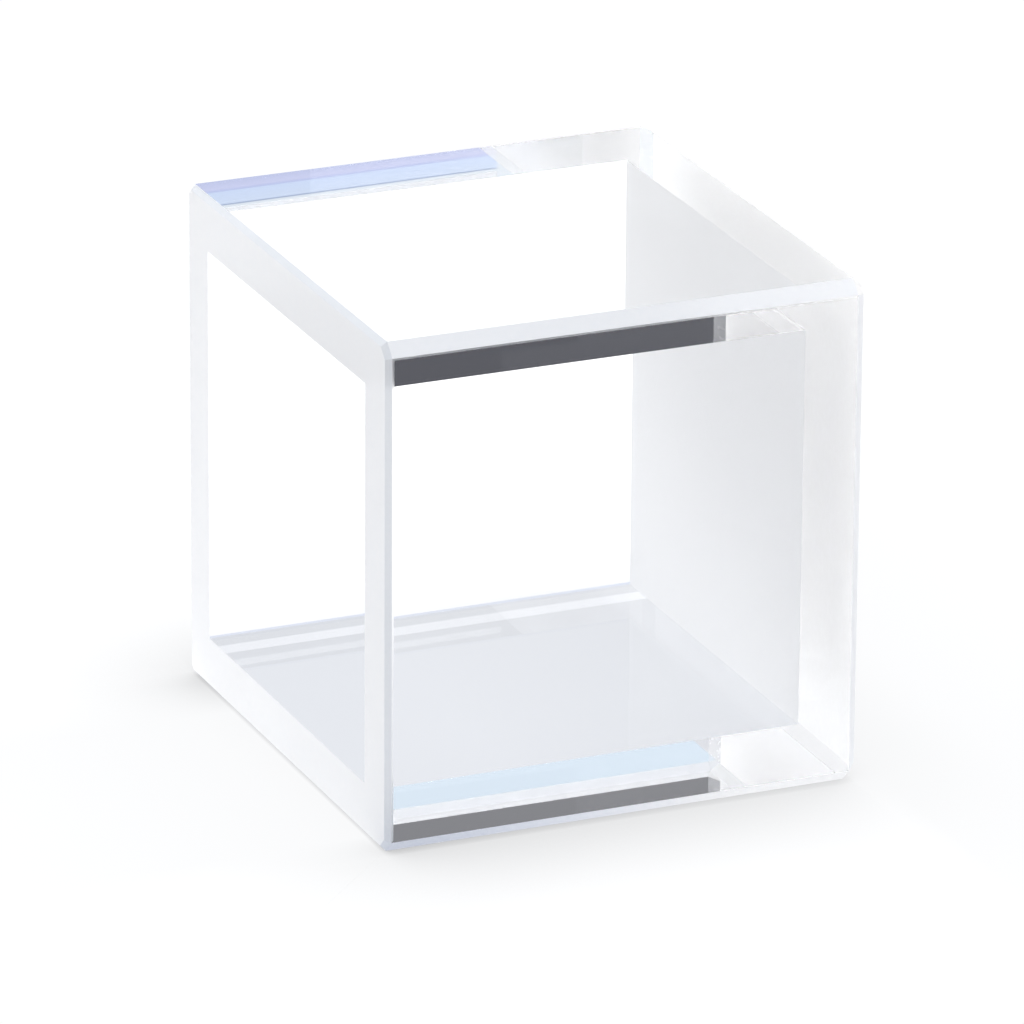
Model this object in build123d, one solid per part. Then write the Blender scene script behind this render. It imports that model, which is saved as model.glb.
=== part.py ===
"""Short square-section glass cell, lying on one side wall with its open end towards -X.

One fused body: four clear side walls round a square light path and a closed end plate.
Frame: millimetres, +Z up, origin under the middle of the body on the face it lies on.
"""
import os

from build123d import *

# Driving dimensions, mm
LIGHT_PATH = 10.0      # clear inside width, the same across and up
WALL = 1.35            # thickness of the four side walls
END_PLATE = 1.20       # thickness of the closed end
LENGTH = 12.20         # open rim to the outside of the closed end
FRONT_BEVEL = 0.32     # ground bevel on the two long edges of the front wall
BACK_BEVEL = 0.20      # ground bevel on the two long edges of the back wall
END_BEVEL = 0.25       # ground bevel round the outside of the closed end
RIM_BEVEL = 0.13       # ground bevel round the outside of the open rim

# Derived sizes, mm
OUTER = LIGHT_PATH + 2 * WALL
DEPTH = LENGTH - END_PLATE
X_RIM = -LENGTH / 2
X_END = LENGTH / 2
MID_Z = OUTER / 2
TOL = 1e-4


def lies_in(edge, axis, value):
    """True for an edge that lies wholly in the plane axis = value."""
    box = edge.bounding_box()
    low, high = getattr(box.min, axis), getattr(box.max, axis)
    return abs(low - value) < TOL and abs(high - value) < TOL


def long_edges(body, y):
    """The edges along the cell at the lower and upper corner of the wall at this y."""
    return [e for e in body.edges().filter_by(Axis.X) if lies_in(e, "Y", y)]


# Outer block, lying on its lower wall
block = Pos(0, 0, MID_Z) * Box(LENGTH, OUTER, OUTER)

# Long edges are bevelled first, then the outlines of the two ends,
# which by now have cut corners
block = chamfer(long_edges(block, -OUTER / 2), FRONT_BEVEL)
block = chamfer(long_edges(block, OUTER / 2), BACK_BEVEL)
block = chamfer([e for e in block.edges() if lies_in(e, "X", X_END)], END_BEVEL)
block = chamfer([e for e in block.edges() if lies_in(e, "X", X_RIM)], RIM_BEVEL)

# Square cavity, open at the rim and sharp in its inside corners
cavity = Pos(X_RIM + DEPTH / 2 - 1.0, 0, MID_Z) * Box(DEPTH + 2.0, LIGHT_PATH, LIGHT_PATH)
cuvette_body = block - cavity

os.makedirs("parts", exist_ok=True)
solid = cuvette_body.solids()[0]
export_step(solid, "parts/cuvette_body.step")

if __name__ == "__main__":
    b = solid.bounding_box()
    print("solids", len(cuvette_body.solids()))
    print("box", b.min, b.max)
    print("volume mm3", round(solid.volume, 3))
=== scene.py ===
import math

import bmesh
import bpy
from mathutils import Matrix, Vector


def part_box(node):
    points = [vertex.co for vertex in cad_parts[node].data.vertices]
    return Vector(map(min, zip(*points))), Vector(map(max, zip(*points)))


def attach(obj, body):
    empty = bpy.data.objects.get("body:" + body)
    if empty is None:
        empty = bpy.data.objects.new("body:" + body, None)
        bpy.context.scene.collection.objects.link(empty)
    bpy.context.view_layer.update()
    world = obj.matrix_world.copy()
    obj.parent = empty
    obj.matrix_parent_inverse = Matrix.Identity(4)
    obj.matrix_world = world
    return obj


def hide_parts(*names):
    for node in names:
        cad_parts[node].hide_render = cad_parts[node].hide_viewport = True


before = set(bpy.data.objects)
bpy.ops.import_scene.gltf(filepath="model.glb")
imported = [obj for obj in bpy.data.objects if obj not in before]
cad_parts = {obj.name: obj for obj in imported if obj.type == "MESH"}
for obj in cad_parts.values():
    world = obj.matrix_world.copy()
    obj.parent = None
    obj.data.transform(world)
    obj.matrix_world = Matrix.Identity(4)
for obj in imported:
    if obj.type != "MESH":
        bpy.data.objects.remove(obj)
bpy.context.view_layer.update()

MM = 0.001
LOW, HIGH = (Vector(c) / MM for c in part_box("cuvette_body"))  # mm, the node's own box

# ---------------------------------------------------------------- the cell, mm
WALL = 1.35
END_PLATE = 1.20
FRONT_BEVEL = 0.32
BACK_BEVEL = 0.20
END_BEVEL = 0.25
RIM_BEVEL = 0.13
IOR_GLASS = 1.43
MARGIN = 0.05        # half-polished line on the front wall, beside its bevels
SEAM = 0.06          # line of the fused joint between the lower and back walls


def outer_block(bm):
    """Block with bevelled edges: the long edges first, then the outlines of its two ends."""
    made = bmesh.ops.create_cube(bm, size=1.0)
    size, mid = HIGH - LOW, (HIGH + LOW) / 2
    for v in made["verts"]:
        v.co = Vector((v.co.x * size.x, v.co.y * size.y, v.co.z * size.z)) + mid

    def bevel(axis, value, width, lengthwise=False):
        """Bevels the edges in the plane axis = value: all of them, or those along the cell."""
        edges = [e for e in bm.edges if all(abs(v.co[axis] - value) < 1e-5 for v in e.verts)
                 and (not lengthwise or abs(e.verts[0].co.x - e.verts[1].co.x) > 1.0)]
        bmesh.ops.bevel(bm, geom=edges, offset=width, offset_type="OFFSET", segments=1, profile=0.5,
                        affect="EDGES", clamp_overlap=False)

    bevel(1, LOW.y, FRONT_BEVEL, lengthwise=True)
    bevel(1, HIGH.y, BACK_BEVEL, lengthwise=True)
    bevel(0, HIGH.x, END_BEVEL)
    bevel(0, LOW.x, RIM_BEVEL)


def cut_cavity(bm):
    """Opens the rim face and lines the cavity with its four walls and its end."""
    rim = max((f for f in bm.faces if abs(f.normal.x + 1) < 1e-4 and abs(f.calc_center_median().x - LOW.x) < 1e-4),
              key=lambda f: f.calc_area())
    outline = list(rim.edges)
    bmesh.ops.delete(bm, geom=[rim], context="FACES_ONLY")
    y0, y1, z0, z1 = LOW.y + WALL, HIGH.y - WALL, LOW.z + WALL, HIGH.z - WALL
    xe = HIGH.x - END_PLATE
    mouth = [bm.verts.new((LOW.x, y, z)) for y, z in ((y0, z0), (y1, z0), (y1, z1), (y0, z1))]
    floor = [bm.verts.new((xe, y, z)) for y, z in ((y0, z0), (y1, z0), (y1, z1), (y0, z1))]
    ring = [bm.edges.new((mouth[i], mouth[(i + 1) % 4])) for i in range(4)]
    for i in range(4):
        j = (i + 1) % 4
        bm.faces.new((mouth[i], mouth[j], floor[j], floor[i]))
    bm.faces.new(floor)
    bmesh.ops.triangle_fill(bm, use_beauty=True, use_dissolve=False, edges=outline + ring)
    bmesh.ops.recalc_face_normals(bm, faces=list(bm.faces))


POLISHED, RIM, EDGES, MARGINS, INNER_END, OUTER_END, BACK_CORNER, RIM_EDGES, JOINT, END_EDGES = range(10)


def body_mesh():
    bm = bmesh.new()
    outer_block(bm)
    cut_cavity(bm)
    bm.normal_update()
    front = [f for f in bm.faces if f.calc_area() > 50 and abs(f.calc_center_median().y - LOW.y) < 1e-4]
    ring = bmesh.ops.inset_individual(bm, faces=front, thickness=MARGIN, use_even_offset=True)["faces"]
    margin = {f for f in ring if f.calc_center_median().x < HIGH.x - 1.0 and f.calc_center_median().z > LOW.z + 1.0}
    back = [f for f in bm.faces if f.calc_area() > 50 and abs(f.calc_center_median().y - HIGH.y + WALL) < 1e-4]
    bmesh.ops.bisect_plane(bm, geom=back + [e for f in back for e in f.edges] + [v for f in back for v in f.verts],
                           plane_co=(0, 0, LOW.z + WALL + SEAM), plane_no=(0, 0, 1))
    bm.normal_update()
    xe = HIGH.x - END_PLATE
    for f in bm.faces:
        n = f.normal
        inside = all(LOW.y + WALL - 1e-4 <= v.co.y <= HIGH.y - WALL + 1e-4
                     and LOW.z + WALL - 1e-4 <= v.co.z <= HIGH.z - WALL + 1e-4
                     and v.co.x <= xe + 1e-4 for v in f.verts)
        if inside:
            f.material_index = INNER_END if abs(n.x) > 0.9 else POLISHED
            if n.y < -0.9 and f.calc_center_median().z < LOW.z + WALL + SEAM:
                f.material_index = JOINT
        elif abs(n.x) > 0.9:
            f.material_index = RIM if n.x < 0 else OUTER_END
        elif max(abs(n.y), abs(n.z)) > 0.9:
            f.material_index = MARGINS if f in margin else POLISHED
        elif n.x > 0.3:
            f.material_index = BACK_CORNER if n.y > 0.6 else END_EDGES if n.y < -0.6 else OUTER_END
        else:
            f.material_index = RIM_EDGES if n.x < -0.3 else EDGES
    print("closed", all(len(e.link_faces) == 2 for e in bm.edges), "volume", bm.calc_volume(), "faces", len(bm.faces))
    for v in bm.verts:
        v.co *= MM
    me = bpy.data.meshes.new("cuvette_glass")
    bm.to_mesh(me)
    bm.free()
    return me


# ------------------------------------------------------------------ materials
def new_material(name):
    m = bpy.data.materials.new(name)
    m.use_nodes = True
    nt = m.node_tree
    nt.nodes.clear()
    out = nt.nodes.new("ShaderNodeOutputMaterial")
    bsdf = nt.nodes.new("ShaderNodeBsdfPrincipled")
    nt.links.new(bsdf.outputs[0], out.inputs["Surface"])
    return m, nt, bsdf


def noise(nt, coord, scale, detail=3.0, rough=0.5):
    n = nt.nodes.new("ShaderNodeTexNoise")
    n.inputs["Scale"].default_value = scale
    n.inputs["Detail"].default_value = detail
    n.inputs["Roughness"].default_value = rough
    nt.links.new(coord, n.inputs["Vector"])
    return n.outputs[0]


def remap(nt, value, lo, hi, to_lo, to_hi):
    n = nt.nodes.new("ShaderNodeMapRange")
    for i, x in enumerate((lo, hi, to_lo, to_hi), 1):
        n.inputs[i].default_value = x
    nt.links.new(value, n.inputs[0])
    return n.outputs[0]


def polished_glass(name, rough_lo, rough_hi, tint=(1.0, 1.0, 1.0)):
    m, nt, b = new_material(name)
    pos = nt.nodes.new("ShaderNodeTexCoord").outputs["Object"]
    b.inputs["Base Color"].default_value = (*tint, 1)
    b.inputs["Transmission Weight"].default_value = 1.0
    b.inputs["IOR"].default_value = IOR_GLASS
    nt.links.new(remap(nt, noise(nt, pos, 260, 4), 0.35, 0.75, rough_lo, rough_hi), b.inputs["Roughness"])
    return m


def ground_glass(name, clear, tone_lo, tone_hi, rough_lo, rough_hi):
    """Ground surface: part of the light scatters at once, part goes on blurred."""
    m, nt, b = new_material(name)
    pos = nt.nodes.new("ShaderNodeTexCoord").outputs["Object"]
    b.inputs["Transmission Weight"].default_value = clear
    b.inputs["IOR"].default_value = IOR_GLASS
    tone = nt.nodes.new("ShaderNodeValToRGB")
    tone.color_ramp.elements[0].position, tone.color_ramp.elements[1].position = 0.3, 0.7
    tone.color_ramp.elements[0].color = (*tone_lo, 1)
    tone.color_ramp.elements[1].color = (*tone_hi, 1)
    nt.links.new(noise(nt, pos, 6000, 4, 0.7), tone.inputs[0])
    nt.links.new(tone.outputs[0], b.inputs["Base Color"])
    nt.links.new(remap(nt, noise(nt, pos, 6000, 2), 0.3, 0.7, rough_lo, rough_hi), b.inputs["Roughness"])
    bump = nt.nodes.new("ShaderNodeBump")
    bump.inputs["Strength"].default_value = 0.12
    bump.inputs["Distance"].default_value = 0.00002
    nt.links.new(noise(nt, pos, 9000, 2), bump.inputs["Height"])
    nt.links.new(bump.outputs[0], b.inputs["Normal"])
    return m


body = bpy.data.objects.new("cuvette_glass", body_mesh())
bpy.context.scene.collection.objects.link(body)
for m in (polished_glass("polished_glass", 0.0, 0.0015),
          ground_glass("ground_rim", 0.2, (0.955, 0.96, 0.975), (0.99, 0.99, 0.995), 0.5, 0.7),
          # lengthwise bevels: the ground finish toned a little darker and bluer than the rim, as painted shade
          ground_glass("ground_edges_painted_shade", 0.18, (0.935, 0.948, 0.972), (0.965, 0.972, 0.988), 0.4, 0.5),
          polished_glass("margin_glass", 0.45, 0.6),
          # inner end: the ground finish toned far darker than the outer end, as painted shade inside the cavity
          ground_glass("frosted_inside_painted_shade", 0.4, (0.675, 0.685, 0.705), (0.725, 0.735, 0.755), 0.5, 0.7),
          ground_glass("frosted_end", 0.5, (0.955, 0.95, 0.945), (0.985, 0.975, 0.965), 0.5, 0.7),
          ground_glass("half_ground", 0.72, (0.95, 0.96, 0.98), (0.98, 0.985, 0.995), 0.2, 0.3),
          # rim bevels: the rim's ground finish toned much darker and bluer, as painted shade
          ground_glass("ground_rim_edges_painted_shade", 0.18, (0.835, 0.86, 0.895), (0.865, 0.885, 0.91), 0.4, 0.5),
          polished_glass("fused_joint", 0.0, 0.05, (0.60, 0.64, 0.76)),
          # front end bevel: the ground finish toned darker and bluer than the end face, as painted shade
          ground_glass("ground_end_edges_painted_shade", 0.3, (0.87, 0.89, 0.925), (0.90, 0.915, 0.94), 0.4, 0.5)):
    body.data.materials.append(m)
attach(body, "root")
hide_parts("cuvette_body")

# ---------------------------------------------------------------------- stage
def math_node(nt, op, a, b=None, c=None):
    n = nt.nodes.new("ShaderNodeMath")
    n.operation = op
    for i, x in enumerate((a, b, c)):
        if x is None:
            continue
        if isinstance(x, (int, float)):
            n.inputs[i].default_value = x
        else:
            nt.links.new(x, n.inputs[i])
    return n.outputs[0]


def mix_colour(nt, factor, a, b):
    n = nt.nodes.new("ShaderNodeMix")
    n.data_type = "RGBA"
    for i, x in ((0, factor), (6, a), (7, b)):
        if isinstance(x, tuple):
            n.inputs[i].default_value = (*x, 1)
        elif isinstance(x, (int, float)):
            n.inputs[i].default_value = x
        else:
            nt.links.new(x, n.inputs[i])
    return n.outputs[2]


def guided(nt, bounces):
    """1 for light that has run along inside a plate, with at least this many inner reflections."""
    lp = nt.nodes.new("ShaderNodeLightPath")
    inside = math_node(nt, "GREATER_THAN", lp.outputs["Transmission Depth"], 0.5)
    inside = math_node(nt, "MULTIPLY", inside, math_node(nt, "LESS_THAN", lp.outputs["Diffuse Depth"], 0.5))
    return math_node(nt, "MULTIPLY", inside, math_node(nt, "GREATER_THAN", lp.outputs["Glossy Depth"], bounces - 0.5))


PLATE = (0.82, 0.845, 0.895)         # painted shade: the floor under the cell, as it shows through the plate the cell lies on
PAINTED_DARK_FAR = (0.080, 0.082, 0.098)      # painted dark floor tone, seen only by light that has run inside a plate, from further away
PAINTED_BLUE_NEAR = (0.72, 0.83, 0.94)       # painted blue tone for that light from just beside the cell
PAINTED_UNDER_FEW = (0.80, 0.89, 0.98)       # painted pale blue tone for that light from beneath it, after few inner reflections
PAINTED_BANDS_UNDER_MANY = ((4.0, (0.47, 0.54, 0.87)), (4.7, (0.58, 0.63, 0.96)), (4.88, (0.44, 0.53, 0.91)), (4.94, (0.60, 0.75, 1.05)),
              (5.80, (0.63, 0.77, 1.02)), (5.83, (0.26, 0.37, 0.62)),
              (5.89, (0.26, 0.37, 0.62)), (5.92, (0.80, 0.89, 0.98)))  # and painted violet and blue bands for it after many, across (mm)

fl = bpy.data.meshes.new("floor")
S = 3.0
fl.from_pydata([(-S, -S, -2e-5), (S, -S, -2e-5), (S, S, -2e-5), (-S, S, -2e-5)], [], [(0, 1, 2, 3)])
floor = bpy.data.objects.new("floor", fl)
bpy.context.scene.collection.objects.link(floor)
fm, fnt, fb = new_material("floor_pale")
fb.inputs["Base Color"].default_value = (0, 0, 0, 1)
fb.inputs["Specular IOR Level"].default_value = 0.0
xyz = fnt.nodes.new("ShaderNodeSeparateXYZ")
fnt.links.new(fnt.nodes.new("ShaderNodeNewGeometry").outputs["Position"], xyz.inputs[0])
away = [math_node(fnt, "MAXIMUM", math_node(fnt, "SUBTRACT", math_node(fnt, "ABSOLUTE", xyz.outputs[i]), h * MM), 0.0)
        for i, h in ((0, HIGH.x), (1, HIGH.y))]
away = math_node(fnt, "SQRT", math_node(fnt, "ADD", math_node(fnt, "MULTIPLY", away[0], away[0]),
                                        math_node(fnt, "MULTIPLY", away[1], away[1])))
shade = fnt.nodes.new("ShaderNodeAmbientOcclusion")       # contact shade
shade.samples = 8
shade.inputs["Distance"].default_value = 0.0042
path = fnt.nodes.new("ShaderNodeLightPath")
crossed = math_node(fnt, "GREATER_THAN", path.outputs["Transmission Depth"], 0.5)
softened = math_node(fnt, "GREATER_THAN", path.outputs["Diffuse Depth"], 0.5)


def grey(nt, value, tint=(1.0, 1.0, 1.0)):
    """Grey of this value, tinted."""
    n = nt.nodes.new("ShaderNodeVectorMath")
    n.operation = "SCALE"
    if isinstance(tint, tuple):
        n.inputs[0].default_value = tint
    else:
        nt.links.new(tint, n.inputs[0])
    nt.links.new(value, n.inputs["Scale"])
    return n.outputs[0]


# the open floor with its contact shade
# painted shade: the floor's glow darkened by ambient occlusion, more on the left than the right and least beyond the
# closed end
dim = math_node(fnt, "MULTIPLY", math_node(fnt, "SUBTRACT", 1.0, shade.outputs["AO"]),
                math_node(fnt, "MULTIPLY", remap(fnt, xyz.outputs[0], -0.006, 0.006, 0.51, 0.34), remap(fnt, xyz.outputs[0], 0.0060, 0.0068, 1.0, 0.4)))
# painted shade kept weak before the rim, except towards its back and front corners
before_rim = remap(fnt, xyz.outputs[0], -0.0059, -0.0061, 0.0, 0.9)
corner = math_node(fnt, "MAXIMUM", remap(fnt, xyz.outputs[1], 0.0035, 0.0056, 0.0, 1.0), remap(fnt, xyz.outputs[1], -0.0050, -0.0066, 0.0, 1.0))
before_rim = math_node(fnt, "MULTIPLY", before_rim, math_node(fnt, "SUBTRACT", 1.0, corner))
dim = math_node(fnt, "MULTIPLY", dim, math_node(fnt, "SUBTRACT", 1.0, before_rim))
# faint broad painted shade before the rim and beyond the closed end
faint_painted_shade = math_node(fnt, "MAXIMUM", before_rim, remap(fnt, xyz.outputs[0], 0.0061, 0.0068, 0.0, 0.9))
dim = math_node(fnt, "ADD", dim, math_node(fnt, "MULTIPLY", faint_painted_shade, remap(fnt, away, 0.002, 0.011, 0.045, 0.0)))
open_floor = grey(fnt, math_node(fnt, "SUBTRACT", 1.03, dim), (0.985, 0.99, 1.0))
# the floor behind and beneath the clear walls, and mirrored in them: painted shade under the cell, brighter further
# off and beyond the closed end
painted_light_line = math_node(fnt, "MULTIPLY", remap(fnt, xyz.outputs[1], 0.00503, 0.00508, 0.0, 1.0),
                     remap(fnt, xyz.outputs[1], 0.00554, 0.00559, 1.0, 0.0))              # painted line of light under the back wall
# darker towards the closed end, then a lighter step near it as a painted reflection of the end wall
plate_painted_steps = math_node(fnt, "ADD", remap(fnt, xyz.outputs[0], -0.002, 0.0042, 1.0, 0.93), remap(fnt, xyz.outputs[0], 0.0043, 0.0047, 0.0, 0.05))
plate = grey(fnt, plate_painted_steps, mix_colour(fnt, painted_light_line, PLATE, (1.02, 1.045, 1.10)))
through = mix_colour(fnt, math_node(fnt, "MAXIMUM", remap(fnt, away, 0.0012, 0.005, 0.0, 1.0), remap(fnt, xyz.outputs[0], 0.0060, 0.0063, 0.0, 0.35)),
                     plate, (1.36, 1.36, 1.37))
through = mix_colour(fnt, crossed, (0.90, 0.91, 0.93), through)
# painted light: what the floor gives to the ground surfaces, brighter close by, beneath the cell and just behind the
# back wall, with painted shade and a painted bluish tint before the front wall
front = math_node(fnt, "MULTIPLY", remap(fnt, xyz.outputs[1], -0.0058, -0.0060, 0.0, 1.0), remap(fnt, xyz.outputs[0], -0.0075, -0.0060, 0.3, 1.0))
soft = math_node(fnt, "MULTIPLY", remap(fnt, away, 0.0, 0.014, 1.22, 0.9), remap(fnt, xyz.outputs[1], -0.006, 0.006, 0.97, 1.04))
soft = math_node(fnt, "MULTIPLY", soft, math_node(fnt, "SUBTRACT", 1.0, math_node(
    fnt, "MULTIPLY", front, remap(fnt, xyz.outputs[0], -0.005, 0.0035, 0.59, 0.10))))
inset = [math_node(fnt, "SUBTRACT", math_node(fnt, "ABSOLUTE", xyz.outputs[i]), h) for i, h in ((0, 0.0058), (1, 0.0060))]
# painted pool of light beneath the cell
beneath = math_node(fnt, "LESS_THAN", math_node(fnt, "MAXIMUM", *inset), 0.0)
soft = math_node(fnt, "ADD", soft, math_node(fnt, "MULTIPLY", beneath, 0.74))
# painted light close behind the back wall
soft = math_node(fnt, "ADD", soft, math_node(fnt, "MULTIPLY", remap(fnt, xyz.outputs[1], 0.0058, 0.0061, 0.0, 1.0),
                                             remap(fnt, away, 0.001, 0.004, 0.5, 0.0)))
soft = math_node(fnt, "MULTIPLY", soft, remap(fnt, xyz.outputs[0], -0.0066, -0.0060, 0.95, 1.0))
soft = math_node(fnt, "MULTIPLY", soft, remap(fnt, xyz.outputs[0], 0.0066, 0.0076, 1.0, 0.86))
close = math_node(fnt, "MULTIPLY", front, remap(fnt, away, 0.001, 0.0025, 1.0, 0.0))
# painted bluish light close before the front wall, towards the rim end
painted_blue_tint = mix_colour(fnt, math_node(fnt, "MULTIPLY", close, remap(fnt, xyz.outputs[0], -0.005, 0.0025, 1.0, 0.0)),
                  (1.0, 1.0, 1.0), (0.87, 0.98, 1.26))
glow = mix_colour(fnt, softened, through, grey(fnt, soft, painted_blue_tint))
glow = mix_colour(fnt, path.outputs["Is Camera Ray"], glow, open_floor)
# painted reflections: floor tones shown only to the light that has run along inside a plate, making the dark strips
# and coloured bands in the glass
beside = mix_colour(fnt, remap(fnt, away, 0.005, 0.012, 0.0, 1.0), PAINTED_BLUE_NEAR, PAINTED_DARK_FAR)
painted_bands = fnt.nodes.new("ShaderNodeValToRGB")
for i, (y, c) in enumerate(PAINTED_BANDS_UNDER_MANY):
    e = painted_bands.color_ramp.elements[i] if i < 2 else painted_bands.color_ramp.elements.new(1.0)
    e.position = (y - 4.0) / 2.4
    e.color = (*c, 1)
fnt.links.new(remap(fnt, xyz.outputs[1], 0.004, 0.0064, 0.0, 1.0), painted_bands.inputs[0])
under = mix_colour(fnt, guided(fnt, 6), PAINTED_UNDER_FEW, painted_bands.outputs[0])
tone = mix_colour(fnt, math_node(fnt, "GREATER_THAN", away, 1e-5), under, beside)
glow = mix_colour(fnt, guided(fnt, 2), glow, tone)
fnt.links.new(glow, fb.inputs["Emission Color"])
fb.inputs["Emission Strength"].default_value = 1.0
fl.materials.append(fm)

world = bpy.data.worlds.new("studio")
bpy.context.scene.world = world
world.use_nodes = True
wn = world.node_tree
wn.nodes.clear()
wo = wn.nodes.new("ShaderNodeOutputWorld")
bg = wn.nodes.new("ShaderNodeBackground")
wn.links.new(bg.outputs[0], wo.inputs[0])
way = wn.nodes.new("ShaderNodeTexCoord").outputs["Generated"]


def towards(direction, lo, hi):
    """Soft-edged patch of sky around a direction: 0 outside, 1 inside."""
    d = wn.nodes.new("ShaderNodeVectorMath")
    d.operation = "DOT_PRODUCT"
    wn.links.new(way, d.inputs[0])
    d.inputs[1].default_value = Vector(direction).normalized()
    n = wn.nodes.new("ShaderNodeMapRange")
    n.interpolation_type = "SMOOTHSTEP"
    n.inputs[1].default_value, n.inputs[2].default_value = lo, hi
    wn.links.new(d.outputs["Value"], n.inputs[0])
    return n.outputs[0]


crossed_sky = math_node(wn, "GREATER_THAN", wn.nodes.new("ShaderNodeLightPath").outputs["Transmission Depth"], 0.5)
up = wn.nodes.new("ShaderNodeSeparateXYZ")
wn.links.new(way, up.inputs[0])
sky = mix_colour(wn, remap(wn, up.outputs[2], 0.05, 0.6, 0.0, 1.0), (0.60, 0.605, 0.615), (1.23, 1.25, 1.29))
sky = mix_colour(wn, towards((0.1, 1, 0.1), 0.5, 0.97), sky, (0.90, 0.90, 0.90))      # lighter behind the cell
sky = mix_colour(wn, towards((-0.1, -1, -0.1), 0.45, 0.95), sky, (0.30, 0.315, 0.36))    # dimmer behind the camera
sky = mix_colour(wn, towards((1, 0.1, 0.1), 0.35, 0.85), sky, (1.41, 1.41, 1.385))     # soft box at the right
# painted reflection: a grey patch of sky seen only by light that has crossed the glass
sky = mix_colour(wn, math_node(wn, "MULTIPLY", crossed_sky, towards((0.38, 0.85, 0.36), 0.84, 0.96)), sky, (0.74, 0.755, 0.80))
# painted dark sky for light run along inside a plate, for the dark strips in the glass
sky = mix_colour(wn, guided(wn, 3), sky, (0.215, 0.218, 0.235))
# painted pale blue sky for that light after many inner reflections
sky = mix_colour(wn, guided(wn, 11), sky, (0.84, 0.88, 1.0))
wn.links.new(sky, bg.inputs[0])
bg.inputs[1].default_value = 1.0

# --------------------------------------------------------------------- camera
UNIT = 12.2 * MM


def place_camera(az, el, roll, pos, focal_px):
    a, e, r = math.radians(az), math.radians(el), math.radians(roll)
    back = Vector((math.sin(a) * math.cos(e), -math.cos(a) * math.cos(e), math.sin(e)))
    right = (-back).cross(Vector((0, 0, 1))).normalized()
    up = right.cross(-back)
    right, up = right * math.cos(r) + up * math.sin(r), up * math.cos(r) - right * math.sin(r)
    cam = bpy.data.cameras.new("camera")
    cam.sensor_fit = "HORIZONTAL"
    cam.sensor_width = 36.0
    cam.lens = focal_px * 36.0 / 1024.0
    cam.clip_start, cam.clip_end = 0.01, 20.0
    ob = bpy.data.objects.new("camera", cam)
    m = Matrix((right, up, back)).transposed().to_4x4()
    m.translation = Vector(pos)
    ob.matrix_world = m
    bpy.context.scene.collection.objects.link(ob)
    bpy.context.scene.camera = ob


CAM_UNITS = (-6.2794, -15.2572, 6.9482)
place_camera(-23.1943, 20.7143, 0.4055,
             (CAM_UNITS[0] * UNIT - 0.0061, CAM_UNITS[1] * UNIT - 0.00635, CAM_UNITS[2] * UNIT), 9306.6)

sc = bpy.context.scene
sc.view_settings.view_transform = "Standard"
sc.view_settings.look = "None"
sc.cycles.max_bounces = 40
sc.cycles.transmission_bounces = 32
sc.cycles.glossy_bounces = 32
sc.cycles.diffuse_bounces = 12
sc.cycles.blur_glossy = 0.0
sc.cycles.use_denoising = True
